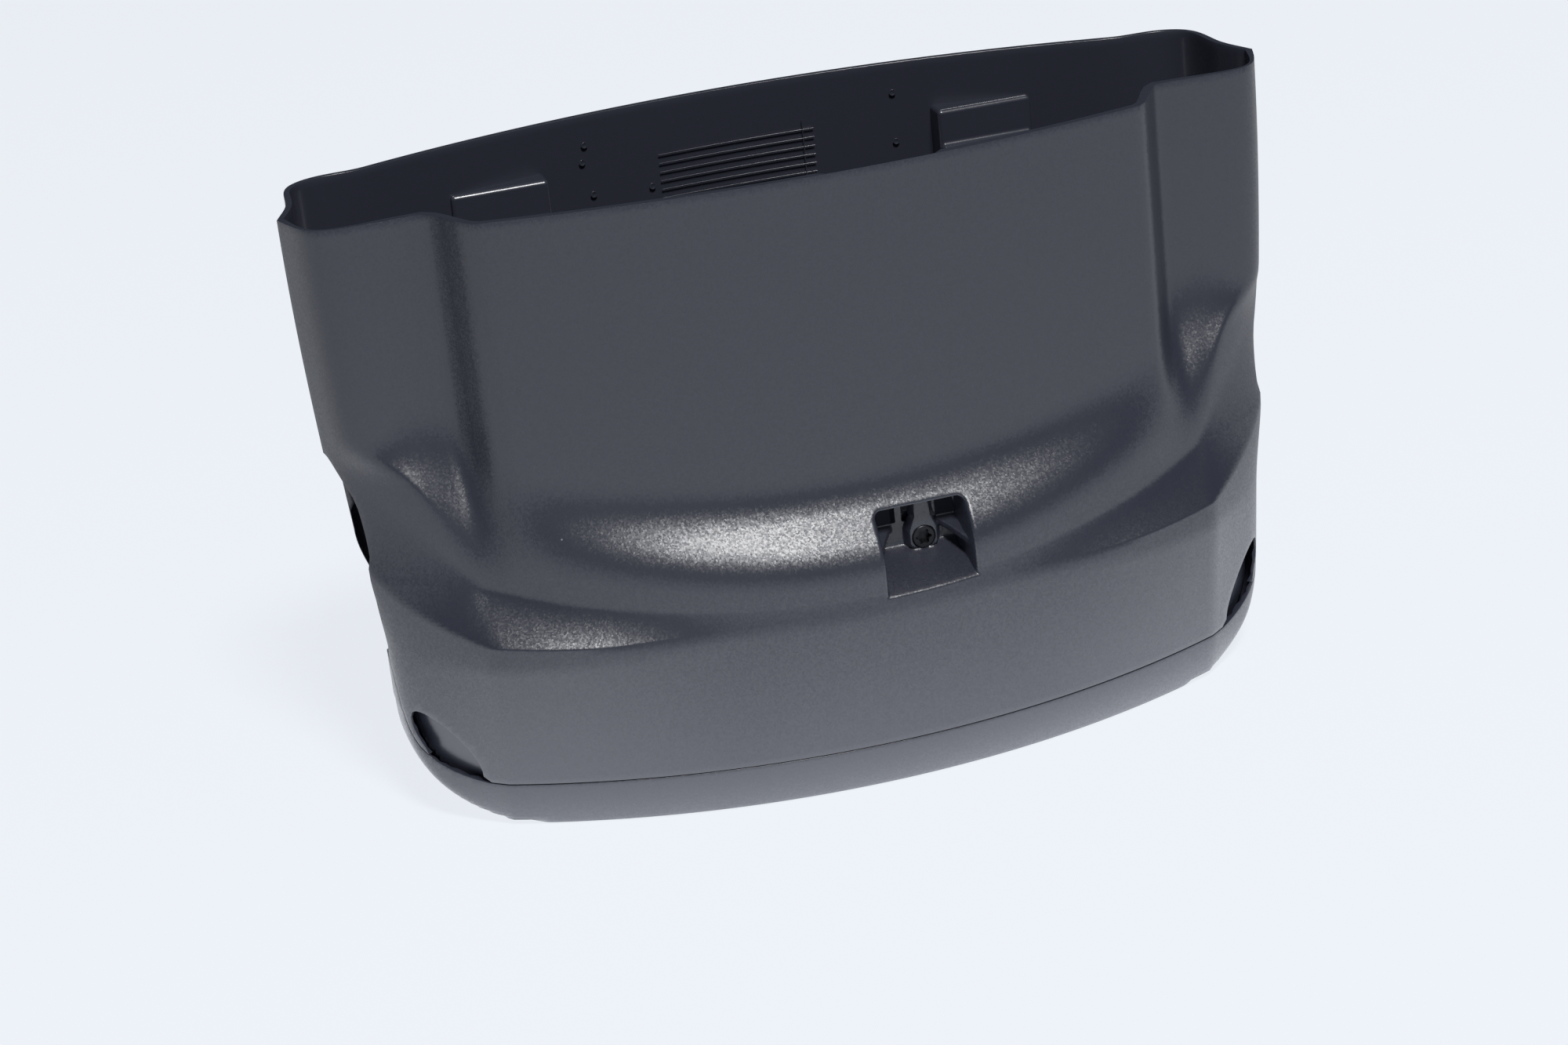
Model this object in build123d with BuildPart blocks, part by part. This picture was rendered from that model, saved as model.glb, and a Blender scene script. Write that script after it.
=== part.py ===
# Moulded housing of two shells that close on each other like a clamshell: a front shell with a
# waisted neck over a bowed base, and a rear shell with the bottom tray. It is open at the mouth
# on top, and a screw in a recess of the front shell holds the two together.
# Z is up, -Y is the front, the origin is at the bottom centre, lengths are millimetres.
from build123d import *
from itertools import accumulate
from math import cos, dist, pi, radians, sin, sqrt, tan
import os

# Whole body
height = 148.0            # floor to mouth
wall = 2.2                # moulded wall
front_depth = 50.6        # parting plane to the front of the base
rear_depth = 50.6         # parting plane to the back of the base
mouth_half_width = 118.0  # at the parting ridge
waist_half_width = 114.0  # at the side openings
waist_height = 64.0
foot_half_width = 108.5   # above the rounded bottom corners
foot_height = 42.0
bottom_corner_radius = 28.0
bottom_corner_reach = 1.0  # the bottom corners start this far outside the foot
bottom_tuck = 3.5         # the base draws in by this at the floor
tuck_height = 12.0

# Bowed front of the base, seen from above
face_radius = 200.0
belly_depth = 47.6        # band between shoulder and ledge
bevel_start = 88.0        # half width of the front face, with bevelled corners beyond it

# Neck: two columns with a bowed panel between them
column_depth = 15.0
column_corner = 5.0
panel_depth = 39.2
panel_radius = 330.0
panel_half_width = 76.5
step_run = 13.0           # width of the step from panel to column

# Shoulder: the slope between neck and belly, lowest in the middle
shoulder_height = 65.5
shoulder_radius = 215.0
shoulder_rise = 14.0

# Ledge: the slope between the belly and the wider skirt
ledge_height = 43.5
ledge_rise = 3.0          # in the middle of the front
ledge_radius = 290.0
ledge_climb = 0.87        # how steeply the ledge climbs along the bevel
skirt_half_width = 110.6
skirt_top = 62.0
skirt_side_depth = 11.0   # where the bevel meets the side
skirt_draft = 4.2         # degrees

# Back
rear_lean = 3.6           # the back wall comes forward by this from floor to mouth
rear_radius = 290.0
rear_corner_run = 25.0    # width of the rear corner, with its shallow hollow
rear_flank_run = 3.6      # from the parting ridge to the flank
rear_flank_depth = 11.0
rear_hollow_run = 7.0
rear_hollow_depth = 27.0
rear_shoulder_run = 13.0
rear_shoulder_depth = 30.4

# Parting line of the two shells, seen from the side
parting_gap = 0.25
parting_top = 80.0        # below this the parting line comes forward
parting_side_depth = 9.5
parting_corner_top = 32.0
seam_height = 12.0        # along the front of the base
seam_corner_run = 26.0

# Openings where the shells meet
side_opening_corners = ((0, 86), (-9, 73), (-9.5, 60), (-7, 47), (8, 44), (26, 52), (30, 66), (22, 80))
side_opening_radius = 4.0
side_opening_reach = 95.0  # the side openings lie outside this half width
slot_half_length = 11.5
slot_half_width = 5.0
slot_centre = (99.3, -18.0, 20.3)
slot_bevel_angle = 40.8   # degrees from the front face to the bevelled corner
slot_tilt = 44.0          # degrees from level

# Screw recess in the front shell
pocket_left = 2.3
pocket_right = 24.0
pocket_bottom = 49.5
pocket_top = 67.0
pocket_back = -36.0       # front face of the recess's back wall
pocket_wall = 1.6
pocket_crease_height = 55.0
window_bottom = 61.0
window_spans = ((3.3, 9.6), (20.4, 23.2))
lug_centre = 14.9
lug_half_width = 4.4
lug_bottom = 52.3
lug_bottom_half_width = 2.0
lug_top_half_width = 2.6
lug_face_half_height = 2.0
lug_depth = 2.4
lug_draft = 24.0          # degrees
gusset_top = 61.5
gusset_bottom = 53.0
gusset_width = 6.0
gusset_run = 8.0

# Screw, and the post of the rear shell that it bites
screw_height = 57.0
screw_head_radius = 2.8
screw_head_depth = 2.3
screw_chamfer = 0.3
screw_shank_radius = 1.5
screw_bite = 6.0          # into the post
screw_clearance = 0.15
bite_clearance = 0.05
socket_radius = 1.45
socket_lobe_radius = 0.45
socket_depth = 1.5
socket_lobes = 6
post_half_width = 4.5
post_back = 2.0           # behind the screw's tip
post_top = 62.5
post_rib_run = 12.0
post_rib_height = 44.0
rib = 1.8

# Screw pockets in the back
mount_spacing = 122.0
mount_drop = 33.0         # mouth to the screw holes
mount_hole_radius = 2.25
mount_half_width = 12.0
mount_half_height = 12.0
mount_step_rise = 5.0     # the outer half of each box stands this much higher
mount_step_depth = 10.0
mount_depth = 18.0


def bow(x, radius):
    """Set-back of a round face at x from the middle."""
    return radius - sqrt(radius**2 - x**2)


def limit(t):
    return min(max(t, 0), 1)


def ease(t):
    """Smooth step from 0 to 1."""
    t = limit(t)
    return t * t * (3 - 2 * t)


def mix(start, end, t):
    return start + (end - start) * t


def spread(start, end, count):
    return [mix(start, end, i / (count - 1)) for i in range(count)]


def chain(ends, counts):
    """Evenly spread values between each two ends, as many steps as counts says."""
    values = [ends[0]]
    for start, end, count in zip(ends, ends[1:], counts):
        values += spread(start, end, count + 1)[1:]
    return values


def bezier(corners, t):
    weights = ((1 - t) ** 3, 3 * t * (1 - t) ** 2, 3 * t * t * (1 - t), t**3)
    return tuple(sum(w * c[axis] for w, c in zip(weights, corners)) for axis in (0, 1))


def flared_half_width(z):
    above = sin(pi / 2 * limit((z - waist_height) / (height - waist_height)))
    below = ease((waist_height - z) / (waist_height - foot_height))
    flare = (mouth_half_width - waist_half_width) * above
    return waist_half_width + flare - (waist_half_width - foot_half_width) * below


def half_width(z):
    """Half width of the body at the parting ridge, which runs straight between the back's levels."""
    z = min(z, height)
    under = max(level for level in back_levels if level <= z)
    over = min(level for level in back_levels if level >= z)
    share = (z - under) / max(over - under, 1)
    return mix(flared_half_width(under), flared_half_width(over), share)


def neck_point(step, turn, width, inset):
    x = bevel_start if turn > 0 else step
    panel = bow(min(x, panel_half_width + step_run), panel_radius) - panel_depth
    y = mix(panel, -column_depth, ease((x + inset - panel_half_width) / step_run)) + inset
    corner = (width - column_corner, -column_depth - 1 + inset)
    return bezier(((x, y), corner, corner, (width, 0)), turn)


def belly_point(step, turn, width, inset):
    x = bevel_start if turn > 0 else step
    y = bow(x, face_radius) - belly_depth + inset
    first = (mix(x, width, 0.33), mix(y, 0, 0.27))
    second = (mix(x, width, 0.7), mix(y, 0, 0.6))
    return bezier(((x, y), first, second, (width, 0)), turn)


def skirt_point(step, turn, width, inset, z):
    x = bevel_start if turn > 0 else step
    y = bow(x, face_radius) - front_depth + inset
    side = skirt_half_width - max(skirt_top - z, 0) * tan(radians(skirt_draft)) - inset
    corner = (side + 1, -skirt_side_depth - 2 + 0.7 * inset)
    return bezier(((x, y), corner, corner, (width, 0)), turn)


def front_point(step, turn, z, inset):
    """Point of the front outline: step runs along the face, turn from 0 to 1 round the bevel."""
    width = half_width(z) - inset
    x = mix(step, width, turn)
    shoulder = shoulder_height + bow(x, shoulder_radius) - inset / 2
    to_belly = ease((shoulder - z) / shoulder_rise + 0.5)
    climb = max(x - bevel_start, 0) * ledge_climb
    ledge_end = ledge_height + climb - inset / 2
    ledge_start = ledge_height + ledge_rise + bow(x, ledge_radius) - inset / 2
    to_skirt = limit((climb + ledge_start - z) / (climb + ledge_start - ledge_end)) ** 1.5
    neck = neck_point(step, turn, width, inset)
    belly = belly_point(step, turn, width, inset)
    skirt = skirt_point(step, turn, width, inset, z)
    return tuple(mix(mix(n, b, to_belly), s, to_skirt) for n, b, s in zip(neck, belly, skirt))


def front_outline(z, inset):
    """Points from the left parting ridge round the front to the right one."""
    right = [front_point(step, 0, z, inset) for step in face_steps]
    right += [front_point(bevel_start, turn, z, inset) for turn in bevel_turns]
    left = [(-x, y) for x, y in reversed(right[1:])]
    return left + right


def tucked(z, inset):
    """Inset with what the base draws in towards the floor."""
    return inset + bottom_tuck * limit(1 - z / tuck_height) ** 2


def front_plan(z, inset):
    """Outline of the front half at height z, moved inwards by inset."""
    inset = tucked(z, inset)
    width = half_width(z) - inset
    with BuildSketch(Plane.XY.offset(z)) as plan:
        with BuildLine():
            add(Edge.make_spline([Vector(*p) for p in front_outline(z, inset)], parameters=stations))
            Line((width, 0), (-width, 0))
        make_face()
    return plan.sketch


def back_plan(z, inset):
    """Outline of the back half at height z, moved inwards by inset."""
    inset = tucked(z, inset)
    width = half_width(z) - inset
    back = rear_depth - rear_lean * z / height - inset
    turn = width - rear_corner_run
    turn_y = back - bow(turn, rear_radius)
    slope = turn / sqrt(rear_radius**2 - turn**2)
    flank = [
        (width, 0), (width - rear_flank_run, rear_flank_depth),
        (width - rear_hollow_run, rear_hollow_depth - inset / 2),
        (width - rear_shoulder_run, rear_shoulder_depth - inset), (turn, turn_y),
    ]
    with BuildSketch(Plane.XY.offset(z)) as plan:
        with BuildLine():
            Line((-width, 0), (width, 0))
            Spline(flank, tangents=[(-rear_flank_run, rear_flank_depth), (-1, slope)])
            ThreePointArc((turn, turn_y), (0, back), (-turn, turn_y))
            Spline([(-x, y) for x, y in reversed(flank)],
                   tangents=[(-1, -slope), (-rear_flank_run, -rear_flank_depth)])
        make_face()
    return plan.sketch


def body_solid(inset, floor, front_heights, back_heights):
    """Body lofted through its outlines, with rounded bottom corners seen from the front."""
    radius = bottom_corner_radius - inset
    reach = foot_half_width + bottom_corner_reach - inset
    with BuildPart() as solid:
        for z in front_heights:
            add(front_plan(z, inset))
        loft(ruled=True)
        for z in back_heights:
            add(back_plan(z, inset))
        loft(ruled=True)
        with BuildSketch(Plane.XZ):
            with BuildLine():
                Line((radius - reach, floor), (reach - radius, floor))
                RadiusArc((reach - radius, floor), (reach, floor + radius), -radius)
                Polyline((reach, floor + radius), (2 * reach, floor + radius), (2 * reach, 2 * height),
                         (-2 * reach, 2 * height), (-2 * reach, floor + radius), (-reach, floor + radius))
                RadiusArc((-reach, floor + radius), (radius - reach, floor), -radius)
            make_face()
        extrude(amount=2 * rear_depth, both=True, mode=Mode.INTERSECT)
    return solid.part


def mount_boxes(inset):
    """Stepped boxes on the inside of the back wall, one at each mount, moved inwards by inset."""
    half = mount_half_width - inset
    floor = mount_floor + inset
    step = mount_step + inset
    bottom = mount_height - mount_half_height + inset
    shelf = mount_height + mount_half_height - inset
    with BuildPart() as boxes:
        for side in (-1, 1):
            with BuildSketch(Plane.YZ.offset(side * mount_spacing / 2 - half)):
                with BuildLine():
                    Polyline(
                        (2 * rear_depth, bottom), (floor, bottom), (floor, shelf), (step, shelf),
                        (step, shelf + mount_step_rise), (2 * rear_depth, shelf + mount_step_rise),
                        close=True,
                    )
                make_face()
            extrude(amount=2 * half)
    return boxes.part


neck_height = mix(waist_height, height, 1 / 3)
collar_height = mix(waist_height, height, 2 / 3)
back_levels = chain((0, tuck_height, foot_height, waist_height, height), (3, 1, 3, 3))
heights = (tuck_height, foot_height, waist_height, neck_height, collar_height)
face_steps = chain((0, panel_half_width - step_run, bevel_start), (8, 10))
bevel_turns = spread(0, 1, 11)[1:]
reference = front_outline(neck_height, 0)
runs = list(accumulate((dist(a, b) for a, b in zip(reference, reference[1:])), initial=0))
stations = [run / runs[-1] for run in runs]

outer = body_solid(0, 0, chain((0, *heights, height), (3, 3, 9, 12, 4, 1)), back_levels)
inner = body_solid(
    wall, wall, chain((wall, *heights, height + wall), (2, 2, 6, 6, 3, 1)),
    chain((wall, tuck_height, foot_height, waist_height, collar_height, height + wall), (2, 1, 3, 2, 1)),
)

with BuildPart() as walls:
    add(outer)
    add(inner, mode=Mode.SUBTRACT)

def side_region(gap, outer_corners):
    """Side view of the body on one side of the parting line, closed through outer corners."""
    top = (gap, 2 * height)
    corner = (gap - parting_side_depth, parting_corner_top)
    seam = (-seam_corner_run, seam_height - gap)
    with BuildSketch(Plane.YZ) as region:
        with BuildLine():
            Polyline(top, (gap, parting_top), corner)
            TangentArc(corner, seam, tangent=(0, -1))
            Polyline(seam, (-2 * front_depth, seam_height - gap), *outer_corners, top)
        make_face()
    return region.sketch


front_side = side_region(0, [(-2 * front_depth, 2 * height)])
rear_side = side_region(
    parting_gap, [(-2 * front_depth, -height), (2 * rear_depth, -height), (2 * rear_depth, 2 * height)]
)


# Openings in both flanks, half in each shell
with BuildPart() as side_openings:
    for side in (-1, 1):
        with BuildSketch(Plane.YZ.offset(side * side_opening_reach)) as opening:
            with BuildLine():
                Polyline(*side_opening_corners, close=True)
            make_face()
            fillet(opening.vertices(), side_opening_radius)
        extrude(amount=side * mouth_half_width)

# Lens-shaped slots at the seam, through the bevelled corners
with BuildPart() as slots:
    for side in (-1, 1):
        normal = (side * sin(radians(slot_bevel_angle)), -cos(radians(slot_bevel_angle)), 0)
        along = (side * cos(radians(slot_bevel_angle)), sin(radians(slot_bevel_angle)), 0)
        centre = (side * slot_centre[0], slot_centre[1], slot_centre[2])
        with BuildSketch(Plane(origin=centre, x_dir=along, z_dir=normal)):
            Ellipse(slot_half_length, slot_half_width, rotation=side * slot_tilt)
        extrude(amount=3 * wall, both=True)

# Screw recess: a block behind the front face, hollowed down a ramp, with a tapered lug in it
with BuildPart() as recess_block:
    with BuildSketch(Plane.XZ.offset(-pocket_back - pocket_wall)):
        with Locations(((pocket_left + pocket_right) / 2, (pocket_bottom + pocket_top) / 2)):
            Rectangle(pocket_right - pocket_left, pocket_top - pocket_bottom)
        offset(amount=pocket_wall, kind=Kind.INTERSECTION)
    extrude(amount=front_depth + pocket_back + pocket_wall)
    add(outer, mode=Mode.INTERSECT)

with BuildPart() as recess:
    with BuildSketch(Plane.YZ.offset(pocket_left)):
        with BuildLine():
            Polyline(
                (-2 * front_depth, pocket_bottom), (-belly_depth, pocket_bottom),
                (pocket_back, pocket_crease_height), (pocket_back, pocket_top),
                (-2 * front_depth, pocket_top), close=True,
            )
        make_face()
    extrude(amount=pocket_right - pocket_left)

with BuildPart() as windows:
    with BuildSketch(Plane.XZ.offset(-pocket_back)):
        for start, end in window_spans:
            with Locations(((start + end) / 2, (window_bottom + pocket_top) / 2)):
                Rectangle(end - start, pocket_top - window_bottom)
    extrude(amount=2 * pocket_wall, both=True)

with BuildPart() as lug:
    with BuildSketch(Plane.XZ.offset(-pocket_back)):
        with BuildLine():
            right_side = Polyline(
                (lug_centre, lug_bottom), (lug_centre + lug_bottom_half_width, lug_bottom),
                (lug_centre + lug_half_width, screw_height - lug_face_half_height),
                (lug_centre + lug_half_width, screw_height + lug_face_half_height),
                (lug_centre + lug_top_half_width, pocket_top), (lug_centre, pocket_top),
            )
            mirror(right_side, about=Plane.YZ.offset(lug_centre))
        make_face()
    extrude(amount=lug_depth, taper=lug_draft)

# Gussets: wedges on the side walls of the recess, narrowing to the front
with BuildPart() as gussets:
    for edge, inwards in ((pocket_left, 1), (pocket_right, -1)):
        with BuildSketch(Plane.XY.offset(gusset_bottom)):
            with BuildLine():
                Polyline((edge, pocket_back), (edge + inwards * gusset_width, pocket_back),
                         (edge, pocket_back - gusset_run), close=True)
            make_face()
        extrude(amount=gusset_top - gusset_bottom)

with BuildPart() as front:
    add(walls.part)
    extrude(front_side, amount=2 * mouth_half_width, both=True, mode=Mode.INTERSECT)
    add(side_openings.part, mode=Mode.SUBTRACT)
    add(slots.part, mode=Mode.SUBTRACT)
    add(recess_block.part)
    add(recess.part, mode=Mode.SUBTRACT)
    add(gussets.part)
    add(lug.part)
    add(windows.part, mode=Mode.SUBTRACT)
    with Locations(Plane(origin=(lug_centre, pocket_back - lug_depth, screw_height), z_dir=(0, -1, 0))):
        CounterBoreHole(
            radius=screw_shank_radius + screw_clearance,
            counter_bore_radius=screw_head_radius + screw_clearance,
            counter_bore_depth=screw_head_depth, depth=2 * lug_depth,
        )

# Post on the tray behind the lug, with a rib that braces it from the back
post_front = pocket_back + pocket_wall + parting_gap
hole_depth = screw_bite + screw_clearance
post_depth = hole_depth + post_back
with BuildPart() as post:
    with BuildSketch(Plane.XY.offset(wall / 2)):
        with Locations((lug_centre, post_front + post_depth / 2)):
            Rectangle(2 * post_half_width, post_depth)
    extrude(amount=post_top - wall / 2)
    with BuildSketch(Plane.YZ.offset(lug_centre - rib / 2)):
        with BuildLine():
            Polyline(
                (post_front + post_depth / 2, wall / 2), (post_front + post_depth + post_rib_run, wall / 2),
                (post_front + post_depth, post_rib_height), (post_front + post_depth / 2, post_rib_height),
                close=True,
            )
        make_face()
    extrude(amount=rib)

# Screw pockets: stepped boxes on the inside of the back wall, hollow towards the back
mount_height = height - mount_drop
mount_step = rear_depth - mount_step_depth
mount_floor = rear_depth - mount_depth
with BuildPart() as mounts:
    add(mount_boxes(0))
    add(outer, mode=Mode.INTERSECT)

with BuildPart() as rear:
    add(walls.part)
    extrude(rear_side, amount=2 * mouth_half_width, both=True, mode=Mode.INTERSECT)
    add(side_openings.part, mode=Mode.SUBTRACT)
    add(mounts.part)
    add(mount_boxes(wall), mode=Mode.SUBTRACT)
    add(post.part)
    with Locations(Plane(origin=(lug_centre, post_front, screw_height), z_dir=(0, -1, 0))):
        Hole(screw_shank_radius + bite_clearance, depth=hole_depth)
    for side in (-1, 1):
        with Locations(Plane(origin=(side * mount_spacing / 2, mount_floor, mount_height), z_dir=(0, 1, 0))):
            Hole(mount_hole_radius, depth=2 * wall)

# Six-lobe socket screw, its head sunk in the lug
seat = pocket_back - lug_depth + screw_head_depth
with BuildPart() as screw:
    with BuildSketch(Plane.XZ.offset(-seat)):
        with Locations((lug_centre, screw_height)):
            Circle(screw_head_radius)
    extrude(amount=screw_head_depth)
    chamfer(screw.edges().sort_by(Axis.Y)[0], screw_chamfer)
    with BuildSketch(Plane.XZ.offset(-seat)):
        with Locations((lug_centre, screw_height)):
            Circle(screw_shank_radius)
    extrude(amount=seat - post_front - screw_bite)
    with BuildSketch(Plane.XZ.offset(screw_head_depth - seat)):
        with Locations((lug_centre, screw_height)):
            Circle(socket_radius)
            with PolarLocations(socket_radius, socket_lobes):
                Circle(socket_lobe_radius)
    extrude(amount=-socket_depth, mode=Mode.SUBTRACT)

os.makedirs("parts", exist_ok=True)
front.part.label = "front_shell"
export_step(front.part, "parts/front_shell.step")
rear.part.label = "rear_shell"
export_step(rear.part, "parts/rear_shell.step")
screw.part.label = "pocket_screw"
export_step(screw.part, "parts/pocket_screw.step")
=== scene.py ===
from math import cos, pi, radians, sin, sqrt, tan

import bmesh
import bpy
import numpy as np
from mathutils import Matrix, Vector


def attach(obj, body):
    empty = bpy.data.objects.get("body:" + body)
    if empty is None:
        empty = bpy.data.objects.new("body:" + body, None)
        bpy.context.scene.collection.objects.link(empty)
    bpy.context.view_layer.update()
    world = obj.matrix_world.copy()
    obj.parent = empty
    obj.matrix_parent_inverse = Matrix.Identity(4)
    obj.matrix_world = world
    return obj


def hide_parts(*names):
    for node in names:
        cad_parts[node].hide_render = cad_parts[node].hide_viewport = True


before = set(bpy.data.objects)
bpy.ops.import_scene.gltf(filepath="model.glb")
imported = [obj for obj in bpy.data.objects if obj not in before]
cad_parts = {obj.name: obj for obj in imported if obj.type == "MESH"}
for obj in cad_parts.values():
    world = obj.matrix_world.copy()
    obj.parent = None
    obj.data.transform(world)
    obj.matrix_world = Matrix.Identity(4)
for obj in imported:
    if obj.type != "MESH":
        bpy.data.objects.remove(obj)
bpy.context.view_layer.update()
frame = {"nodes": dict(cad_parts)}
nodes = frame["nodes"]
print("Frame loaded:", ", ".join(nodes))


def linearColour(hexText):
    # sRGB hex to linear RGBA
    channels = [int(hexText[i : i + 2], 16) / 255 for i in (1, 3, 5)]
    return [c / 12.92 if c <= 0.04045 else ((c + 0.055) / 1.055) ** 2.4 for c in channels] + [1.0]


def addNode(tree, kind, inputs=None, **settings):
    # one node with its settings, its sockets set to values or wired to other nodes' outputs
    node = tree.nodes.new(kind)
    for key, value in settings.items():
        setattr(node, key, value)
    for key, value in (inputs or {}).items():
        if isinstance(value, bpy.types.NodeSocket):
            tree.links.new(value, node.inputs[key])
        else:
            node.inputs[key].default_value = value
    return node


camera = {
    "place": (-0.19375, -0.78661, 0.37793),
    "right": (0.95825, -0.26726, -0.10162),
    "up": (0.19184, 0.33742, 0.92160),
    "back": (-0.21202, -0.90262, 0.37461),
    "lens": 82.8,  # mm on a 36 mm sensor
}


def makeCamera():
    data = bpy.data.cameras.new("camera")
    data.lens = camera["lens"]
    data.sensor_width = 36
    data.clip_start = 0.05
    thing = bpy.data.objects.new("camera", data)
    columns = [Vector(camera[key]) for key in ("right", "up", "back")]
    turn = Matrix(columns).transposed().to_4x4()
    thing.matrix_world = Matrix.Translation(camera["place"]) @ turn
    bpy.context.collection.objects.link(thing)
    bpy.context.scene.camera = thing


makeCamera()
print("Camera placed")


studio = {
    "floorGlow": "#e4e8ee",  # the table shines by itself, so that it stays even
    "floorColour": "#5a5c5f",
    "floorHeight": -0.0003,
    "floorSize": 9.0,
    "floorRoughness": 0.8,
    "floorSpecular": 0.1,
    "worldColour": "#cfdcf0",
    "worldStrength": 0.1,
    "keyAngles": (3, 56),  # degrees right of the front and above the table
    "keyDistance": 2.4,
    "keySize": 0.5,
    "keyPower": 44.0,
    "keyTarget": (0, 0, 0.07),
    "glowPeak": 2.2,  # strength of the table's glow right at the object
    "glowNear": 0.04,  # metres from the middle, full glow up to here
    "glowFar": 0.2,
    "glowRest": 0.75,  # the glow further out
    "glowOval": (0.75, 1, 1),  # the bright patch is longer along the body
}


def makeFloor():
    half = studio["floorSize"] / 2
    data = bpy.data.meshes.new("floor")
    corners = [(-half, -half, 0), (half, -half, 0), (half, half, 0), (-half, half, 0)]
    data.from_pydata(corners, [], [(0, 1, 2, 3)])
    floor = bpy.data.objects.new("floor", data)
    floor.location.z = studio["floorHeight"]
    bpy.context.collection.objects.link(floor)
    material = bpy.data.materials.new("pale table")
    material.use_nodes = True
    tree = material.node_tree
    shader = tree.nodes["Principled BSDF"]
    shader.inputs["Base Color"].default_value = linearColour(studio["floorColour"])
    shader.inputs["Roughness"].default_value = studio["floorRoughness"]
    shader.inputs["Specular IOR Level"].default_value = studio["floorSpecular"]
    shader.inputs["Emission Color"].default_value = linearColour(studio["floorGlow"])
    # the camera sees an even table, and the object is lit most by the table close to it
    place = addNode(tree, "ShaderNodeTexCoord").outputs["Object"]
    stretch = {0: place, 1: studio["glowOval"]}
    oval = addNode(tree, "ShaderNodeVectorMath", stretch, operation="MULTIPLY").outputs["Vector"]
    away = addNode(tree, "ShaderNodeVectorMath", {0: oval}, operation="LENGTH").outputs["Value"]
    limits = {
        "Value": away,
        "From Min": studio["glowNear"],
        "From Max": studio["glowFar"],
        "To Min": studio["glowPeak"],
        "To Max": studio["glowRest"],
    }
    fade = addNode(tree, "ShaderNodeMapRange", limits, interpolation_type="SMOOTHSTEP")
    rays = addNode(tree, "ShaderNodeLightPath").outputs["Is Camera Ray"]
    strength = addNode(tree, "ShaderNodeMix", {"Factor": rays, 2: fade.outputs["Result"], 3: 1.0})
    tree.links.new(strength.outputs[0], shader.inputs["Emission Strength"])
    data.materials.append(material)


def makeWorld():
    world = bpy.data.worlds.new("studio")
    world.use_nodes = True
    background = world.node_tree.nodes["Background"]
    background.inputs["Color"].default_value = linearColour(studio["worldColour"])
    background.inputs["Strength"].default_value = studio["worldStrength"]
    bpy.context.scene.world = world


def makeLamp(name, place, target, size, power):
    data = bpy.data.lights.new(name, "AREA")
    data.shape = "DISK"
    data.size = size
    data.energy = power
    lamp = bpy.data.objects.new(name, data)
    lamp.location = place
    lamp.rotation_euler = (Vector(target) - Vector(place)).to_track_quat("-Z", "Y").to_euler()
    bpy.context.collection.objects.link(lamp)


def towards(turn, lift):
    # direction from the object, by degrees right of the front and above the table
    turn, lift = radians(turn), radians(lift)
    return Vector((sin(turn) * cos(lift), -cos(turn) * cos(lift), sin(lift)))


def makeLights():
    place = towards(*studio["keyAngles"]) * studio["keyDistance"]
    makeLamp("key", place, studio["keyTarget"], studio["keySize"], studio["keyPower"])


makeFloor()
makeWorld()
makeLights()
bpy.context.scene.view_settings.view_transform = "Standard"
print("Studio lit")


# Sizes of the body in millimetres, shared by both shells
recess = {
    "left": 2.3,
    "right": 24.0,
    "bottom": 49.5,
    "top": 67.0,
    "cornerRound": 1.6,
    "lip": 1.1,  # rounded edge round the opening
    "wallSlope": 16.0,  # how steeply the side walls go in
    "back": -36.0,
    "crease": 55.0,  # the ramp starts here and runs out to the foot
    "creaseRound": 1.0,
    "foot": -48.6,
    "windows": ((3.0, 9.0), (10.5, 12.2), (18.8, 23.2)),
    "windowBottom": 60.8,
    "windowTop": 65.8,
    "windowRound": 0.3,
    "windowFront": 0.6,
    "windowBehind": 2.0,
    "gussetTop": 60.4,
    "gussetWidth": 5.8,
    "gussetRun": 9.5,
    "gussetFall": 0.38,
    "gussetThick": 1.5,
    "gussetCurve": 1.3,
    "softness": 1.0,
    "rimSoftness": 0.5,
    "area": ((13.0, 16.0), (58.0, 14.0)),  # middle and half size in x and z of what is moved
    "areaDepth": -30.0,
}
lug = {
    "rightSide": ((1.3, 52.9), (3.3, 55.4), (3.3, 58.8), (1.9, 62.5), (1.7, 67.5)),
    "round": 0.7,
    "centre": 14.9,
    "front": -38.4,
    "draft": 2.25,
    "lean": 0.5,
    "leanTop": 54.8,  # the face falls back below this height
    "softness": 0.25,
    "screwHeight": 57.0,
    "seatRadius": 2.93,
    "seatDepth": -36.15,
    "seatRim": 0.15,  # points this near are drawn onto the rim
}
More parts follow.
